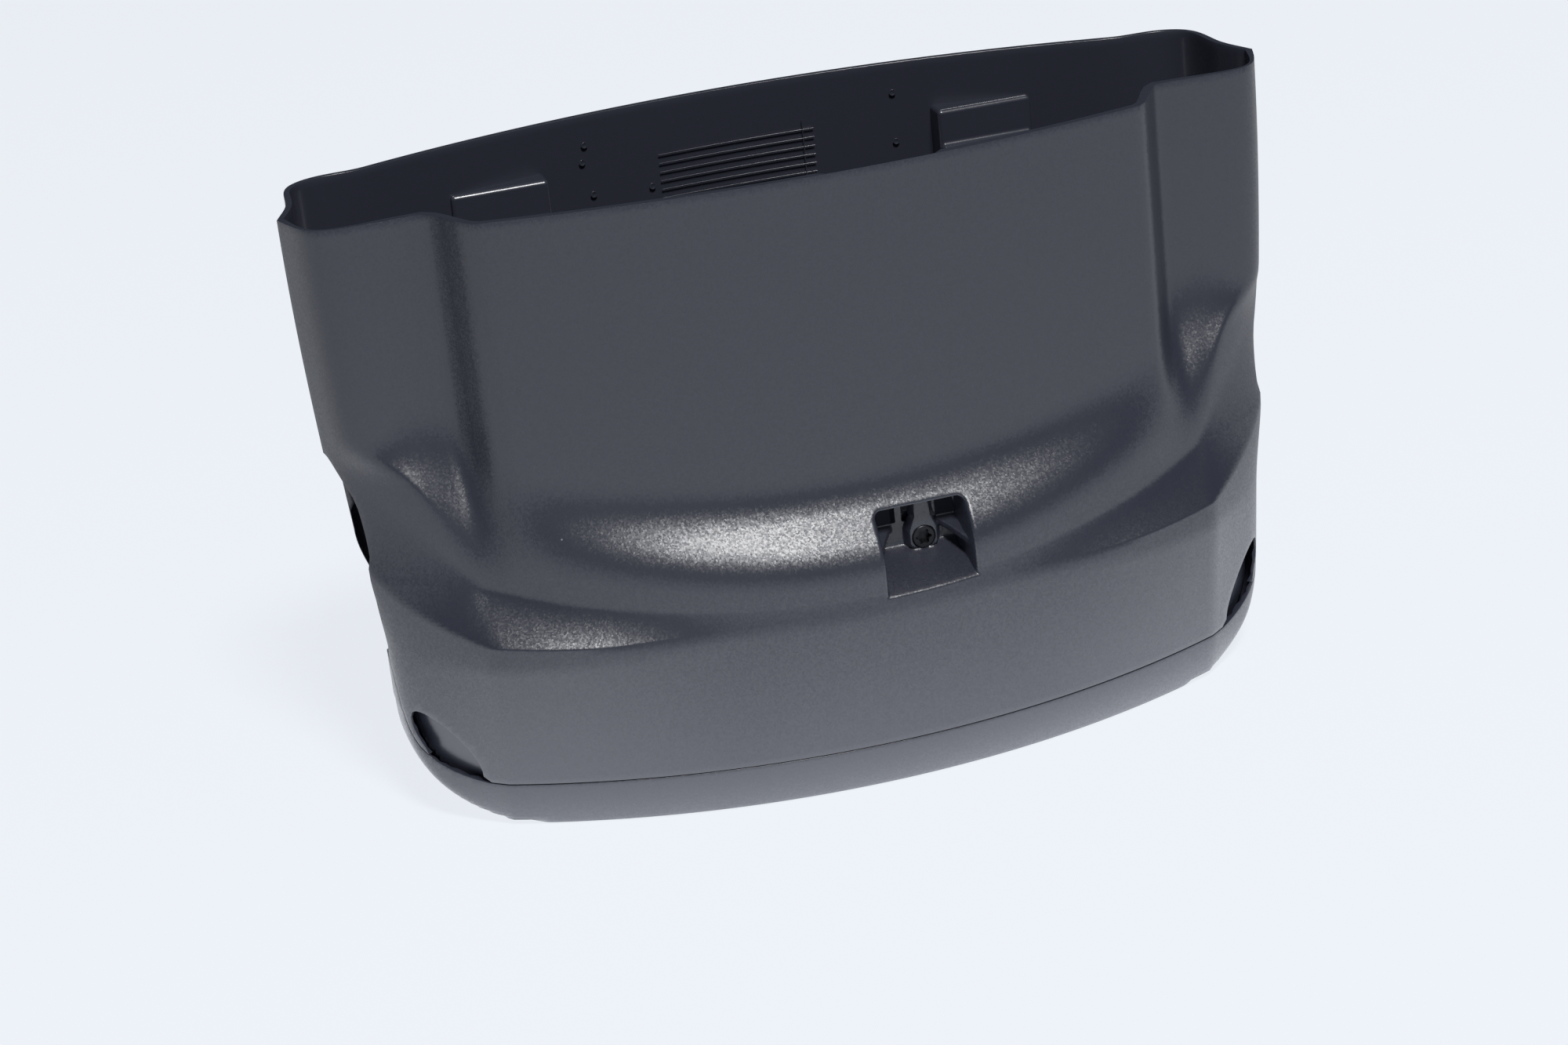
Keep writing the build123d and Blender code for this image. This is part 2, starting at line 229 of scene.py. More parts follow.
body = {
    "height": 148.0,
    "wall": 2.2,
    "frontDepth": 50.6,
    "rearDepth": 50.56,
    "mouthHalfWidth": 118.0,
    "waistHalfWidth": 114.0,
    "waistHeight": 64.0,
    "footHalfWidth": 108.5,
    "footHeight": 42.0,
    "cornerRadius": 28.0,
    "cornerReach": 109.5,
    "cornerSoftness": 2.5,
    "tuck": 3.5,
    "tuckHeight": 12.0,
    "faceRadius": 200.0,
    "bellyDepth": 50.2,
    "bellyRadius": 185.0,
    "bellyWrap": 1.5,  # the belly falls back this much more towards its corners
    "bellyWrapStart": 66.0,
    "bellyHandles": ((0.3, 0.16), (0.82, 0.5)),  # shares of the way round its corner, across and back
    "bevelStart": 88.0,
    "columnDepth": 15.0,
    "columnCorner": 5.0,
    "panelDepth": 39.2,
    "panelRadius": 330.0,
    "panelHalfWidth": 78.0,
    "stepRun": 10.5,
    "shoulderHeight": 65.0,
    "shoulderRadius": 260.0,
    "shoulderRise": 24.0,
    "stepShoulder": (74.0, 12.0, 40.0),  # start, run and rise, gentlest below the columns' inner step
    "columnShoulder": (90.0, 9.0, 13.0),
    "shoulderClimb": (83.0, 17.0, 6.6),  # start, run and height of the extra climb
    "shoulderEnd": 92.0,  # levels out from here
    "shoulderEndRun": 16.0,
    "ledgeHeight": 45.5,
    "ledgeRise": 4.3,
    "ledgeRadius": 340.0,
    "ledgeEndRadius": 1000.0,
    "ledgeClimb": 0.87,
    "skirtHalfWidth": 110.6,
    "skirtTop": 62.0,
    "skirtSideDepth": 11.0,
    "skirtDraft": 4.2,
    "faceDraft": 2.3,  # the front of the skirt leans out up to this height
    "faceDraftTop": 45.0,
    "ledgePower": 1.3,
    "cornerFlare": 5.0,  # the skirt's upper edge stands out towards its corners
    "cornerFlareStart": 28.0,
    "cornerFlareFoot": 12.0,
    "cornerFlareRise": 31.0,
    "rearLean": 3.6,
    "rearRadius": 290.0,
    "rearCornerRun": 25.0,
    "rearFlank": ((3.6, 11.0, 0.0), (7.0, 27.0, 0.5), (13.0, 30.4, 1.0)),  # in, back and share of the inset
}
mesh = {
    "cell": 2.0,
    "lowCell": 1.5,
    "fineCell": 0.25,
    "footCell": 1.2,
    "footTop": 12.0,
    "fineMargin": 2.0,
    "topGap": 0.01,
    "turns": 30,
    "flank": 34,
    "back": 60,
    "edgeRound": 0.3,
}


def bow(x, radius):
    return radius - np.sqrt(radius**2 - x**2)


def ease(t):
    t = np.clip(t, 0, 1)
    return t * t * (3 - 2 * t)


def easeLong(t):
    t = np.clip(t, 0, 1)
    return t**3 * (t * (6 * t - 15) + 10)


def mix(start, end, t):
    return start + (end - start) * t


def bezier(corners, t):
    weights = ((1 - t) ** 3, 3 * t * (1 - t) ** 2, 3 * t * t * (1 - t), t**3)
    return [sum(w * corner[axis] for w, corner in zip(weights, corners)) for axis in (0, 1)]


def halfWidth(z):
    rise = (z - body["waistHeight"]) / (body["height"] - body["waistHeight"])
    flare = np.sin(np.pi / 2 * np.clip(rise, 0, 1))
    draw = ease((body["waistHeight"] - z) / (body["waistHeight"] - body["footHeight"]))
    wide = body["mouthHalfWidth"] - body["waistHalfWidth"]
    return body["waistHalfWidth"] + wide * flare - (body["waistHalfWidth"] - body["footHalfWidth"]) * draw


def frontPoint(step, turn, z, inset):
    # step runs along the face, turn from 0 to 1 round the bevelled corner
    width = halfWidth(z) - inset
    run = body["stepRun"]
    panel = bow(np.minimum(step, body["panelHalfWidth"] + run), body["panelRadius"]) - body["panelDepth"]
    neckY = mix(panel, -body["columnDepth"], ease((step + inset - body["panelHalfWidth"]) / run)) + inset
    corner = (width - body["columnCorner"], -body["columnDepth"] - 1 + inset)
    neck = bezier(((step, neckY), corner, corner, (width, 0)), turn)
    bellyY = bow(step, body["bellyRadius"]) - body["bellyDepth"] + inset
    start = body["bellyWrapStart"]
    bellyY += body["bellyWrap"] * ease((step - start) / (body["bevelStart"] - start))
    first, second = [(mix(step, width, a), mix(bellyY, 0, b)) for a, b in body["bellyHandles"]]
    belly = bezier(((step, bellyY), first, second, (width, 0)), turn)
    skirtY = bow(step, body["faceRadius"]) - body["frontDepth"] + inset
    skirtY += np.maximum(body["faceDraftTop"] - z, 0) * tan(radians(body["faceDraft"]))
    start = body["cornerFlareStart"]
    outwards = ease((step - start) / (body["bevelStart"] - start))
    upwards = np.clip((z - body["cornerFlareFoot"]) / body["cornerFlareRise"], 0, 1)
    skirtY -= body["cornerFlare"] * outwards * upwards
    lean = np.maximum(body["skirtTop"] - z, 0) * tan(radians(body["skirtDraft"]))
    corner = (body["skirtHalfWidth"] - lean - inset + 1, -body["skirtSideDepth"] - 2 + 0.7 * inset)
    skirt = bezier(((step, skirtY), corner, corner, (width, 0)), turn)
    x = mix(step, width, turn)
    end, run = body["shoulderEnd"], body["shoulderEndRun"]
    past = np.clip(x - end, 0, run)
    reach = np.minimum(x, end) + past - past**2 / (2 * run)
    shoulder = body["shoulderHeight"] + bow(reach, body["shoulderRadius"]) - inset / 2
    start, run, climb = body["shoulderClimb"]
    shoulder += climb * ease((x - start) / run)
    rise = body["shoulderRise"]
    for start, run, nextRise in (body["stepShoulder"], body["columnShoulder"]):
        rise = mix(rise, nextRise, ease((x - start) / run))
    toBelly = easeLong((shoulder - z) / rise + 0.5)
    climb = np.maximum(x - body["bevelStart"], 0) * body["ledgeClimb"]
    ledgeEnd = body["ledgeHeight"] + bow(x, body["ledgeEndRadius"]) + climb - inset / 2
    ledgeStart = body["ledgeHeight"] + body["ledgeRise"] + bow(x, body["ledgeRadius"]) - inset / 2
    toSkirt = np.clip((climb + ledgeStart - z) / (climb + ledgeStart - ledgeEnd), 0, 1) ** body["ledgePower"]
    return [mix(mix(n, b, toBelly), s, toSkirt) for n, b, s in zip(neck, belly, skirt)]


def smoothCurve(points, startWay, endWay, count):
    # evenly stepped cubic curve through the points, with set directions at both ends
    points = np.array(points, float)
    runs = np.linalg.norm(np.diff(points, axis=0), axis=1)
    last = len(points) - 1
    system = np.zeros((last + 1, last + 1))
    right = np.zeros_like(points)
    system[0, 0] = system[last, last] = 1
    right[0] = np.array(startWay) / np.linalg.norm(startWay)
    right[last] = np.array(endWay) / np.linalg.norm(endWay)
    for i in range(1, last):
        system[i, i - 1 : i + 2] = runs[i], 2 * (runs[i - 1] + runs[i]), runs[i - 1]
        before = (points[i] - points[i - 1]) / runs[i - 1]
        after = (points[i + 1] - points[i]) / runs[i]
        right[i] = 3 * (runs[i] * before + runs[i - 1] * after)
    ways = np.linalg.solve(system, right)
    ends = np.concatenate(([0], np.cumsum(runs)))
    result = []
    for at in np.linspace(0, ends[-1], count):
        i = min(np.searchsorted(ends, at, side="right") - 1, last - 1)
        t = (at - ends[i]) / runs[i]
        h = runs[i]
        result.append(
            (2 * t**3 - 3 * t**2 + 1) * points[i]
            + (t**3 - 2 * t**2 + t) * h * ways[i]
            + (3 * t**2 - 2 * t**3) * points[i + 1]
            + (t**3 - t**2) * h * ways[i + 1]
        )
    return np.array(result)


def backPoints(z, inset, flankCount, backCount):
    # half outline from the right ridge to the middle of the back
    width = halfWidth(z) - inset
    back = body["rearDepth"] - body["rearLean"] * z / body["height"] - inset
    turn = width - body["rearCornerRun"]
    turnY = back - bow(turn, body["rearRadius"])
    slope = turn / sqrt(body["rearRadius"] ** 2 - turn**2)
    inwards, backwards = body["rearFlank"][0][:2]
    flank = [(width - a, b - part * inset) for a, b, part in body["rearFlank"]]
    side = smoothCurve([(width, 0), *flank, (turn, turnY)], (-inwards, backwards), (-1, slope), flankCount)
    x = np.linspace(turn, 0, backCount + 1)[1:]
    return np.concatenate((side, np.stack((x, back - bow(x, body["rearRadius"])), 1)))


def spreadLevels(ends, sizes):
    # evenly spaced values between each two ends, no further apart than the sizes say
    values = [ends[0]]
    for start, end, size in zip(ends, ends[1:], sizes):
        count = max(1, round((end - start) / size))
        values += list(np.linspace(start, end, count + 1)[1:])
    return np.array(values)


def bodyGrid(inset=0.0):
    # rows of points round the whole body, from the floor to the mouth
    cell, low, fine = mesh["cell"], mesh["lowCell"], mesh["fineCell"]
    margin = mesh["fineMargin"]
    top = body["height"] - mesh["topGap"]
    ends = (0, mesh["footTop"], recess["bottom"] - margin, recess["top"] + margin, top)
    rows = spreadLevels(ends, (mesh["footCell"], low, fine, cell))
    side = body["bevelStart"]
    face = spreadLevels((-side, recess["left"] - margin, recess["right"] + margin, side), (cell, fine, cell))
    turns = np.linspace(0, 1, mesh["turns"])[1:]
    grid = []
    for z in rows:
        lower = inset + body["tuck"] * max(1 - z / body["tuckHeight"], 0) ** 2
        x, y = frontPoint(np.abs(face), np.zeros(len(face)), z, lower)
        middle = np.stack((x * np.sign(face), y), 1)
        x, y = frontPoint(np.full(len(turns), body["bevelStart"]), turns, z, lower)
        corner = np.stack((x, y), 1)
        half = backPoints(z, lower, mesh["flank"], mesh["back"])
        ring = np.concatenate((corner[::-1] * (-1, 1), middle, corner[:-1], half, half[-2:0:-1] * (-1, 1)))
        limit = np.inf
        if z < body["cornerRadius"]:
            limit = body["cornerReach"] - body["cornerRadius"]
            limit += sqrt(body["cornerRadius"] ** 2 - (body["cornerRadius"] - z) ** 2)
        over = np.abs(ring[:, 0]) - limit
        soft = body["cornerSoftness"]
        drawn = np.where(over > soft, over, np.where(over > -soft, (over + soft) ** 2 / (4 * soft), 0))
        ring[:, 0] -= np.sign(ring[:, 0]) * drawn
        grid.append(np.column_stack((ring, np.full(len(ring), z))))
    return np.array(grid)


# Where the body is cut, in millimetres
parting = {
    "gap": 0.25,
    "top": 80.0,  # below this the line comes forward
    "sideDepth": 9.5,
    "cornerTop": 32.0,
    "seamHeight": 12.0,
    "cornerRun": 26.0,
}
sideOpening = {
    "corners": (
        *((-1, 92), (-8, 81), (-11, 68), (-11, 57), (-9, 42)),
        *((6, 38), (16, 46), (18, 64), (16, 80), (8, 89)),
    ),
    "round": 3.5,
    "reach": 95.0,
}
slot = {
    "centre": (99.3, -18.0, 20.3),
    "halfLength": 11.5,
    "halfWidth": 5.0,
    "bevelAngle": 40.8,
    "tilt": 44.0,
    "behind": 30.0,  # nothing is cut further back than this from the middle
}
mounts = {
    "spacing": 122.0,
    "height": 115.0,
    "half": 12.0,
    "stepRise": 9.0,
    "step": 34.9,
    "floor": 32.6,
    "hole": 2.25,
    "holeSteps": 40,
    "boxDepth": 9.0,  # the box and its hollow reach this far past the back wall
    "hollowDepth": 20.0,
    "skin": 0.3,  # the boxes end this far inside the back wall's surface
    "trimMargin": 3.0,
    "trimSteps": 24,
    "trimEnd": 80.0,
    "clearance": 0.15,
    "cornerRound": 0.8,
    "front": 25.0,  # nothing is cut in front of this
    "round": 1.9,
    "rim": 0.25,
}


def roundedLoop(corners, radius, steps=8):
    # closed outline with its corners rounded
    corners = [np.array(c, float) for c in corners]
    loop = []
    for before, corner, after in zip(corners[-1:] + corners[:-1], corners, corners[1:] + corners[:1]):
        inward = (before - corner) / np.linalg.norm(before - corner)
        onward = (after - corner) / np.linalg.norm(after - corner)
        half = np.arccos(np.clip(inward @ onward, -1, 1)) / 2
        middle = (inward + onward) / np.linalg.norm(inward + onward)
        centre = corner + middle * radius / sin(half)
        start = corner + inward * radius / tan(half) - centre
        end = corner + onward * radius / tan(half) - centre
        for t in np.linspace(0, 1, steps):
            way = start * (1 - t) + end * t
            loop.append(centre + way / np.linalg.norm(way) * radius)
    return np.array(loop)


def lineDistance(points, line, closed):
    # distance of each 2-D point from a run of straight stretches
    ends = np.roll(line, -1, 0) if closed else line[1:]
    best = np.full(len(points), np.inf)
    for a, b in zip(line, ends):
        way = b - a
        t = np.clip(((points - a) @ way) / (way @ way + 1e-12), 0, 1)
        best = np.minimum(best, np.linalg.norm(points - a - t[:, None] * way, axis=1))
    return best


def outside(points, loop):
    # signed distance from a closed outline, positive outside it
    inside = np.zeros(len(points), bool)
    for a, b in zip(loop, np.roll(loop, -1, 0)):
        crosses = (a[1] > points[:, 1]) != (b[1] > points[:, 1])
        rise = b[1] - a[1] if b[1] != a[1] else 1e-12
        inside ^= crosses & (points[:, 0] < (b[0] - a[0]) * (points[:, 1] - a[1]) / rise + a[0])
    return lineDistance(points, loop, True) * np.where(inside, -1, 1)


def partingLine():
    # from above the mouth down the side and forward along the seam, as (y, z)
    width = parting["cornerRun"] - parting["sideDepth"]
    drop = parting["cornerTop"] - parting["seamHeight"]
    radius = (width**2 + drop**2) / (2 * width)
    centre = np.array((-parting["sideDepth"] - radius, parting["cornerTop"]))
    sweep = np.arcsin(drop / radius)
    arc = [centre + radius * np.array((cos(a), -sin(a))) for a in np.linspace(0, sweep, 24)]
    top = [(0, 2 * body["height"]), (0, parting["top"])]
    return np.array(top + [tuple(p) for p in arc] + [(-4 * body["frontDepth"], parting["seamHeight"])])


def frontSide(points):
    # signed distance from the parting line in the side view, positive in the front shell
    line = partingLine()
    lineY = np.interp(points[:, 2], line[::-1, 1], line[::-1, 0])
    inFront = (points[:, 1] < lineY) & (points[:, 2] > parting["seamHeight"])
    return lineDistance(points[:, 1:], line, False) * np.where(inFront, 1, -1)


def openSides(points):
    corners = sideOpening["corners"]
    loop = roundedLoop(corners, sideOpening["round"])
    distance = outside(points[:, 1:], loop)
    return np.where(np.abs(points[:, 0]) > sideOpening["reach"], distance, np.inf)


def openSlots(points):
    angle, tilt = radians(slot["bevelAngle"]), radians(slot["tilt"])
    offset = points * 1.0
    offset[:, 0] = np.abs(offset[:, 0])
    offset -= slot["centre"]
    along = offset @ np.array((cos(angle), sin(angle), 0))
    a = along * cos(tilt) + offset[:, 2] * sin(tilt)
    b = -along * sin(tilt) + offset[:, 2] * cos(tilt)
    size = np.hypot(a / slot["halfLength"], b / slot["halfWidth"]) + 1e-9
    slope = np.hypot(a / slot["halfLength"] ** 2, b / slot["halfWidth"] ** 2) + 1e-9
    return np.where(offset[:, 1] < slot["behind"], size * (size - 1) / slope, np.inf)


def boxLoop(low, high, radius):
    return roundedLoop(((low[0], low[1]), (high[0], low[1]), (high[0], high[1]), (low[0], high[1])), radius)


def openWindows(points):
    # windows in the back wall of the screw recess
    distance = np.full(len(points), np.inf)
    for left, right in recess["windows"]:
        loop = boxLoop((left, recess["windowBottom"]), (right, recess["windowTop"]), recess["windowRound"])
        distance = np.minimum(distance, outside(points[:, ::2], loop))
    depth = points[:, 1] - recess["back"]
    behind = (depth > -recess["windowFront"]) & (depth < recess["windowBehind"])
    return np.where(behind, distance, np.inf)


def openMounts(points):
    half = mounts["half"] - body["wall"] - mounts["clearance"]
    low, high = mounts["height"] - half, mounts["height"] + half + mounts["stepRise"]
    middle = mounts["spacing"] / 2
    loop = boxLoop((middle - half, low), (middle + half, high), mounts["cornerRound"])
    distance = outside(np.abs(points[:, ::2]), loop)
    return np.where(points[:, 1] > mounts["front"], distance, np.inf)


def trimGrid(grid, keep):
    # cuts a ring grid along keep = 0 by drawing the nearest points onto the cut
    best = np.full(keep.shape, 0.5000001)  # share of the way to the next point
    target = grid.copy()
    for axis, step in ((1, 1), (1, -1), (0, 1), (0, -1)):
        nextKeep, nextPoint = np.roll(keep, -step, axis), np.roll(grid, -step, axis)
        crosses = (keep * nextKeep < 0) & np.isfinite(keep) & np.isfinite(nextKeep)
        if axis == 0:
            crosses[-1 if step > 0 else 0] = False
        share = np.where(crosses, keep / np.where(crosses, keep - nextKeep, 1), 1)
        better = share < best
        best = np.where(better, share, best)
        target = np.where(better[..., None], grid + share[..., None] * (nextPoint - grid), target)
    return target, np.where(best < 0.5, 0, keep)


def gridFaces(keep):
    rows, count = keep.shape
    faces = []
    for r in range(rows - 1):
        for c in range(count):
            d = (c + 1) % count
            corners = (r * count + c, r * count + d, (r + 1) * count + d, (r + 1) * count + c)
            values = (keep[r, c], keep[r, d], keep[r + 1, d], keep[r + 1, c])
            kept = [corner for corner, value in zip(corners, values) if value >= 0]
            if len(kept) > 2 and max(values) > 0:
                faces.append(kept)
    return faces


def softMin(a, b, width):
    width = np.maximum(width, 1e-6)
    share = np.clip(0.5 + (b - a) / (2 * width), 0, 1)
    return mix(b, a, share) - width * share * (1 - share)


def sinkRecess(grid):
    # draws the front face in to the screw recess, with its ramp, gussets and lug
    points = grid.reshape(-1, 3)
    near = points[:, 1] < recess["areaDepth"]
    for axis, (middle, half) in zip((0, 2), recess["area"]):
        near &= np.abs(points[:, axis] - middle) < half
    x, y, z = points[near].T
    # the loop reaches far below, so that only the ramp bounds the recess there
    corner = (recess["left"], recess["bottom"] - 30)
    walls = boxLoop(corner, (recess["right"], recess["top"]), recess["cornerRound"])
    distance = outside(points[near][:, ::2], walls)
    lip = recess["lip"]
    bend = lip - np.sqrt(lip**2 - (lip - np.clip(distance, 0, lip)) ** 2)
    wall = y + bend + recess["wallSlope"] * np.maximum(-distance, 0)
    slope = (recess["back"] - recess["foot"]) / (recess["crease"] - recess["bottom"])
    ramp = recess["back"] + (z - recess["crease"]) * slope
    floor = softMin(ramp, recess["back"], recess["creaseRound"])
    # gussets: thin sloped plates on the side walls
    for edge, way in ((recess["left"], 1), (recess["right"], -1)):
        share = np.clip((x - edge) * way / recess["gussetWidth"], 0, 1)
        tip = recess["back"] - recess["gussetRun"] * (1 - share) ** recess["gussetCurve"]
        top = recess["gussetTop"] + (tip - recess["back"]) * recess["gussetFall"]
        plane = recess["back"] + (z - recess["gussetTop"]) / recess["gussetFall"]
        plate = np.maximum(tip, plane)
        covers = (z > top - recess["gussetThick"]) & (z < recess["gussetTop"]) & (share < 1)
        floor = np.where(covers, np.minimum(floor, plate), floor)
    # lug with drafted sides, its lower part leaning back
    # its left side mirrors the right one
    half = lug["rightSide"]
    face = ((-half[0][0], half[0][1]),) + half + tuple((-a, b) for a, b in half[:0:-1])
    outline = roundedLoop([(lug["centre"] + a, b) for a, b in face], lug["round"])
    away = np.maximum(outside(points[near][:, ::2], outline), 0)
    block = lug["front"] + lug["draft"] * away + lug["lean"] * np.maximum(lug["leanTop"] - z, 0)
    floor = softMin(floor, block, lug["softness"])
    cavity = -softMin(-y, -floor, recess["softness"])
    rim = recess["rimSoftness"]
    result = softMin(wall, cavity, rim * np.clip(-distance / rim, 0, 1))
    # seat of the screw head, with the nearest points drawn onto its rim
    radius = np.hypot(x - lug["centre"], z - lug["screwHeight"])
    onRim = np.abs(radius - lug["seatRadius"]) < lug["seatRim"]
    pull = np.where(onRim, lug["seatRadius"] / np.maximum(radius, 1e-6), 1)
    newX = lug["centre"] + (x - lug["centre"]) * pull
    newZ = lug["screwHeight"] + (z - lug["screwHeight"]) * pull
    result = np.where(radius < lug["seatRadius"] - lug["seatRim"], lug["seatDepth"], result)
    points[near] = np.stack((newX, result, newZ), 1)
    return points.reshape(grid.shape)


def shellSkin(grid, keep):
    # vertices and faces of the kept part, without the points that nothing uses
    trimmed, signs = trimGrid(grid, keep)
    faces = gridFaces(signs)
    used = sorted({corner for face in faces for corner in face})
    place = {old: new for new, old in enumerate(used)}
    points = trimmed.reshape(-1, 3)[used]
    return points, [[place[c] for c in face] for face in faces]


def meshObject(name, points, faces, materials, weld=0.02):
    # object from points in millimetres, with doubled points merged
    data = bpy.data.meshes.new(name)
    data.from_pydata([tuple(p) for p in np.asarray(points) / 1000], [], faces)
    work = bmesh.new()
    work.from_mesh(data)
    bmesh.ops.remove_doubles(work, verts=work.verts, dist=weld / 1000)
    bmesh.ops.dissolve_degenerate(work, edges=work.edges, dist=weld / 4000)
    work.to_mesh(data)
    work.free()
    for material in materials:
        data.materials.append(material)
    data.shade_smooth()
    thing = bpy.data.objects.new(name, data)
    bpy.context.collection.objects.link(thing)
    return thing


def applyModifiers(thing):
    # the evaluated mesh replaces the original one
    bpy.context.view_layer.update()
    evaluated = thing.evaluated_get(bpy.context.evaluated_depsgraph_get())
    result = bpy.data.meshes.new_from_object(evaluated)
    thing.modifiers.clear()
    thing.data = result


def thicken(thing, thickness):
    # wall inwards from the outer skin, its inner side in the second material
    solid = thing.modifiers.new("wall", "SOLIDIFY")
    solid.thickness = thickness / 1000
    solid.offset = -1
    solid.use_even_offset = True
    solid.thickness_clamp = 1.0
    solid.material_offset = 1
    solid.material_offset_rim = 0


def roundEdges(thing, width, angle=50, segments=2):
    bevel = thing.modifiers.new("edges", "BEVEL")
    bevel.width = width / 1000
    bevel.segments = segments
    bevel.limit_method = "ANGLE"
    bevel.angle_limit = radians(angle)
    bevel.use_clamp_overlap = True
    bevel.harden_normals = False


plastic = {
    "outside": "#2b2d39",
    "inside": "#343641",
    "roughness": 0.37,
    "specular": 0.95,
    "insideRoughness": 0.26,
    "grain": 2800.0,  # cells per metre, grains of about a third of a millimetre
    "grainTilt": 0.12,
    "insideTilt": 0.02,
    "flow": 35.0,
    "flowSpread": 0.02,  # the roughness wanders this much either way
    "dust": "#aab0ba",
    "dustScale": 75.0,
    "dustSize": 0.02,  # radius as a share of a cell
    "dustEdge": 1.6,  # the speck has faded out at this many radii
    "dustShare": 0.6,  # cells with a smaller random value stay clean
}
screwFinish = {
    "colour": "#26272b",
    "metallic": 0.6,
    "roughness": 0.38,
    "spread": 0.08,
    "flow": 900.0,
    "grain": 2600.0,
    "grainStrength": 0.15,
    "grainDepth": 0.00005,
}


def grainNormal(tree, place, scale, strength, depth):
    noise = addNode(tree, "ShaderNodeTexNoise", {"Vector": place, "Scale": scale, "Detail": 2.0})
    bump = {"Height": noise.outputs["Fac"], "Strength": strength, "Distance": depth}
    return addNode(tree, "ShaderNodeBump", bump).outputs["Normal"]


def sparkNormal(tree, place, scale, tilt):
    # every grain faces a little another way, as on a spark-eroded surface
    cells = addNode(tree, "ShaderNodeTexVoronoi", {"Vector": place, "Scale": scale}).outputs["Color"]
    middle = {0: cells, 1: (0.5, 0.5, 0.5)}
    centred = addNode(tree, "ShaderNodeVectorMath", middle, operation="SUBTRACT").outputs[0]
    scaled = {0: centred, "Scale": tilt}
    turned = addNode(tree, "ShaderNodeVectorMath", scaled, operation="SCALE").outputs[0]
    normal = addNode(tree, "ShaderNodeNewGeometry").outputs["Normal"]
    both = addNode(tree, "ShaderNodeVectorMath", {0: normal, 1: turned}, operation="ADD").outputs[0]
    return addNode(tree, "ShaderNodeVectorMath", {0: both}, operation="NORMALIZE").outputs[0]


def varied(tree, place, scale, value, spread):
    # a value wandering slowly, by the spread either way
    noise = addNode(tree, "ShaderNodeTexNoise", {"Vector": place, "Scale": scale, "Detail": 3.0})
    limits = {
        "Value": noise.outputs["Fac"],
        "From Min": 0.3,
        "From Max": 0.7,
        "To Min": value - spread,
        "To Max": value + spread,
    }
    return addNode(tree, "ShaderNodeMapRange", limits).outputs["Result"]


def dustMask(tree, place):
    # a few round specks, one in a cell at the most
    cells = addNode(tree, "ShaderNodeTexVoronoi", {"Vector": place, "Scale": plastic["dustScale"]})
    size = plastic["dustSize"]
    spot = {
        "Value": cells.outputs["Distance"],
        "From Min": size,
        "From Max": size * plastic["dustEdge"],
        "To Min": 1.0,
        "To Max": 0.0,
    }
    spots = addNode(tree, "ShaderNodeMapRange", spot).outputs["Result"]
    pick = addNode(tree, "ShaderNodeSeparateColor", {"Color": cells.outputs["Color"]}).outputs["Red"]
    chosen = addNode(tree, "ShaderNodeMath", {0: pick, 1: plastic["dustShare"]}, operation="GREATER_THAN")
    return addNode(tree, "ShaderNodeMath", {0: spots, 1: chosen.outputs[0]}, operation="MULTIPLY").outputs[0]


def plasticMaterial(name, colour, roughness, tilt, dusty):
    material = bpy.data.materials.new(name)
    material.use_nodes = True
    tree = material.node_tree
    shader = tree.nodes["Principled BSDF"]
    place = addNode(tree, "ShaderNodeTexCoord").outputs["Object"]
    base = linearColour(colour)
    if dusty:
        inputs = {"Factor": dustMask(tree, place), 6: base, 7: linearColour(plastic["dust"])}
        mixed = addNode(tree, "ShaderNodeMix", inputs, data_type="RGBA")
        tree.links.new(mixed.outputs[2], shader.inputs["Base Color"])
    else:
        shader.inputs["Base Color"].default_value = base
    rough = varied(tree, place, plastic["flow"], roughness, plastic["flowSpread"])
    tree.links.new(rough, shader.inputs["Roughness"])
    shader.inputs["Specular IOR Level"].default_value = plastic["specular"]
    normal = sparkNormal(tree, place, plastic["grain"], tilt)
    tree.links.new(normal, shader.inputs["Normal"])
    return material


def outsideMaterial():
    # spark-eroded grey ABS
    name, colour = "spark-eroded grey ABS", plastic["outside"]
    return plasticMaterial(name, colour, plastic["roughness"], plastic["grainTilt"], True)


def insideMaterial():
    # smooth grey ABS, on the inner side of the shells
    name, colour = "smooth grey ABS", plastic["inside"]
    return plasticMaterial(name, colour, plastic["insideRoughness"], plastic["insideTilt"], False)


def screwMaterial():
    # black phosphated steel
    material = bpy.data.materials.new("black phosphated steel")
    material.use_nodes = True
    tree = material.node_tree
    shader = tree.nodes["Principled BSDF"]
    place = addNode(tree, "ShaderNodeTexCoord").outputs["Object"]
    shader.inputs["Base Color"].default_value = linearColour(screwFinish["colour"])
    shader.inputs["Metallic"].default_value = screwFinish["metallic"]
    rough = varied(tree, place, screwFinish["flow"], screwFinish["roughness"], screwFinish["spread"])
    tree.links.new(rough, shader.inputs["Roughness"])
    strength, depth = screwFinish["grainStrength"], screwFinish["grainDepth"]
    normal = grainNormal(tree, place, screwFinish["grain"], strength, depth)
    tree.links.new(normal, shader.inputs["Normal"])
    return material


outsidePlastic = outsideMaterial()
insidePlastic = insideMaterial()


